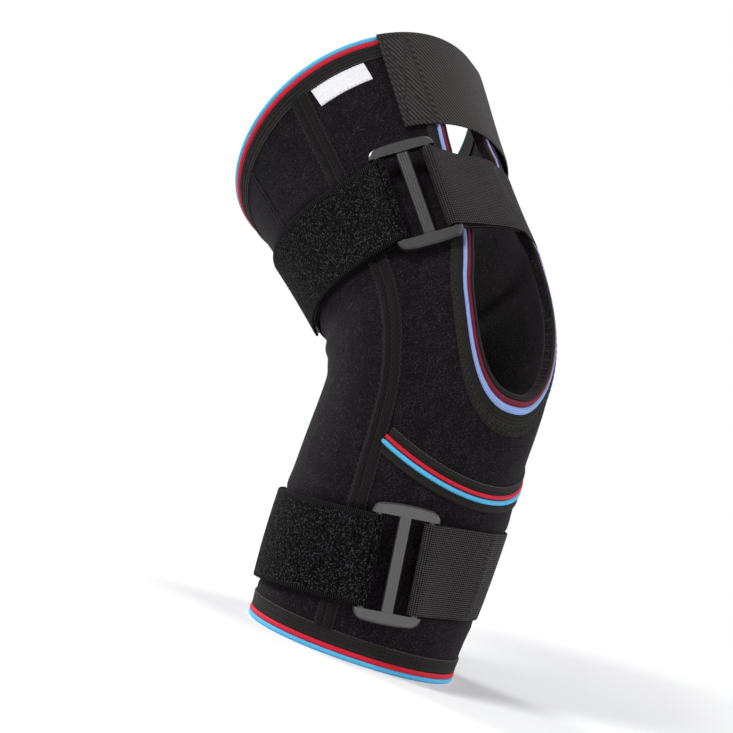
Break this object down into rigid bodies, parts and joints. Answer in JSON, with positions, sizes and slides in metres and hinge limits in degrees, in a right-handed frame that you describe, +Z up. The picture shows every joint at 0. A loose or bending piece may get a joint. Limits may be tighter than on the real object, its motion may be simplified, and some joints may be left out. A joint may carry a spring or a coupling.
{
  "type": "knee brace",
  "caption": "Wraparound neoprene knee brace with an open patella window, stay channels, hook-and-loop straps through slide buckles and a top closure strap.",
  "frame": {"origin": "centre of the round calf opening at the bottom rim, in the plane it stands on", "axes": "+Z up along the calf's axis, +X to the front of the leg, +Y to its inner (medial) side, for a right leg"},
  "size_m": [0.2339, 0.1574, 0.3321],
  "materials": {
    "neoprene": "brushed stretch fabric bonded to foam",
    "binding_tape": "woven tape, black with a red and a light blue stripe",
    "channel_tape": "woven tape over twin stay tunnels",
    "spring_steel": "flattened spiral spring",
    "stay_cap": "moulded end cap",
    "webbing": "basket woven nylon webbing",
    "loop_pile": "napped loop strap",
    "hook_tape": "moulded hook tape",
    "buckle_plastic": "satin moulded nylon",
    "twill": "grey twill tape",
    "label_white": "blank woven label"
  },
  "bodies": {
    "calf_section": {"calf_front_panel": "neoprene", "knee_base_panel": "neoprene", "calf_back_panel": "neoprene", "knee_front_panel": "neoprene", "popliteal_panel": "neoprene", "bottom_binding": "binding_tape", "window_binding_base": "binding_tape", "window_binding_knee": "binding_tape", "curved_trim": "binding_tape", "lateral_channel_calf": "channel_tape", "lateral_channel_knee": "channel_tape", "medial_channel_calf": "channel_tape", "medial_channel_knee": "channel_tape", "lateral_rear_stay": "spring_steel", "lateral_front_stay": "spring_steel", "medial_rear_stay": "spring_steel", "medial_front_stay": "spring_steel", "lateral_stay_caps_calf": "stay_cap", "medial_stay_caps_calf": "stay_cap", "lower_webbing": "webbing", "lower_loop_strap": "loop_pile"},
    "thigh_section": {"thigh_front_panel_lateral": "neoprene", "thigh_front_panel_medial": "neoprene", "thigh_side_panel_lateral": "neoprene", "thigh_side_panel_medial": "neoprene", "thigh_back_panel": "neoprene", "top_binding": "binding_tape", "window_binding_sides": "binding_tape", "lateral_channel_thigh": "channel_tape", "medial_channel_thigh": "channel_tape", "lateral_stay_caps_thigh": "stay_cap", "medial_stay_caps_thigh": "stay_cap", "upper_webbing": "webbing", "upper_loop_strap": "loop_pile", "top_strap_tab": "twill", "top_strap_landing": "loop_pile", "label": "label_white"},
    "upper_buckle": {"upper_buckle": "buckle_plastic", "upper_strap_fold": "loop_pile"},
    "lower_buckle": {"lower_buckle": "buckle_plastic", "lower_strap_fold": "loop_pile"},
    "upper_strap_end": {"upper_strap_end": "loop_pile", "upper_hook_tab": "hook_tape"},
    "lower_strap_end": {"lower_strap_end": "loop_pile", "lower_hook_tab": "hook_tape"},
    "top_strap": {"top_strap": "twill", "top_strap_hook": "hook_tape"}
  },
  "joints": [
    {"name": "knee_flexion", "type": "hinge", "parent": "calf_section", "child": "thigh_section", "pos_m": [-0.00933, 0, 0.17374], "axis": [0, -1, 0], "range_deg": [-57, 38], "deforming": ["knee_front_panel", "popliteal_panel", "window_binding_knee", "lateral_channel_knee", "medial_channel_knee", "lateral_rear_stay", "lateral_front_stay", "medial_rear_stay", "medial_front_stay"]},
    {"name": "upper_buckle_swivel", "type": "hinge", "parent": "thigh_section", "child": "upper_buckle", "pos_m": [-0.00697, -0.03983, 0.25743], "axis": [-0.7163, -0.0924, 0.6917], "range_deg": [0, 15]},
    {"name": "upper_strap_peel", "type": "hinge", "parent": "upper_buckle", "child": "upper_strap_end", "pos_m": [-0.01815, -0.06315, 0.24273], "axis": [-0.7163, -0.0924, 0.6917], "range_deg": [0, 60]},
    {"name": "lower_buckle_swivel", "type": "hinge", "parent": "calf_section", "child": "lower_buckle", "pos_m": [0.06556, -0.03002, 0.06134], "axis": [-0.1303, -0.0558, 0.9899], "range_deg": [0, 15]},
    {"name": "lower_strap_peel", "type": "hinge", "parent": "lower_buckle", "child": "lower_strap_end", "pos_m": [0.05043, -0.05537, 0.05792], "axis": [-0.1303, -0.0558, 0.9899], "range_deg": [0, 60]},
    {"name": "top_strap_peel", "type": "hinge", "parent": "thigh_section", "child": "top_strap", "pos_m": [-0.04455, -0.01991, 0.29051], "axis": [0.7643, 0.0355, -0.6439], "range_deg": [0, 80]}
  ]
}
